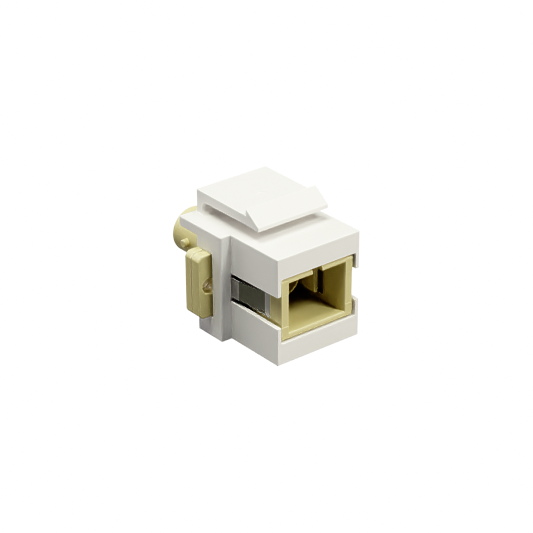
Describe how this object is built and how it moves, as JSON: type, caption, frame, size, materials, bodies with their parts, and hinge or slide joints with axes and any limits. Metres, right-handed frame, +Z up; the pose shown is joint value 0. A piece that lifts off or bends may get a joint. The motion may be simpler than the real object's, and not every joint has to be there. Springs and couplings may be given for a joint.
{
  "type": "fibre keystone adapter",
  "caption": "Snap-in keystone housing with a sprung top latch, carrying a hybrid fibre adapter: square push-pull socket in front, round bayonet barrel behind.",
  "frame": {"origin": "on the optical axis, in the plane of the shoulder that seats behind the panel", "axes": "+X right as seen from the front, +Y to the rear along the optical axis, +Z up towards the latch"},
  "size_m": [0.0222, 0.0288, 0.0212],
  "materials": {
    "white_plastic": "fine satin moulding",
    "straw_plastic": "fine satin moulding",
    "sleeve_bronze": "drawn, lightly polished",
    "spring_steel": "rolled strip, bright edges"
  },
  "bodies": {
    "housing": {"keystone_housing": "white_plastic", "sc_body": "straw_plastic", "st_body": "straw_plastic", "hook_insert": "straw_plastic", "split_sleeve": "sleeve_bronze", "mounting_clip": "spring_steel"},
    "latch": {"latch_arm": "white_plastic"}
  },
  "joints": [
    {"name": "latch_flex", "type": "hinge", "parent": "housing", "child": "latch", "pos_m": [0, 0.00775, 0.00898], "axis": [1, 0, 0], "range_deg": [0, 7], "stiffness_Nm_per_rad": 1}
  ]
}
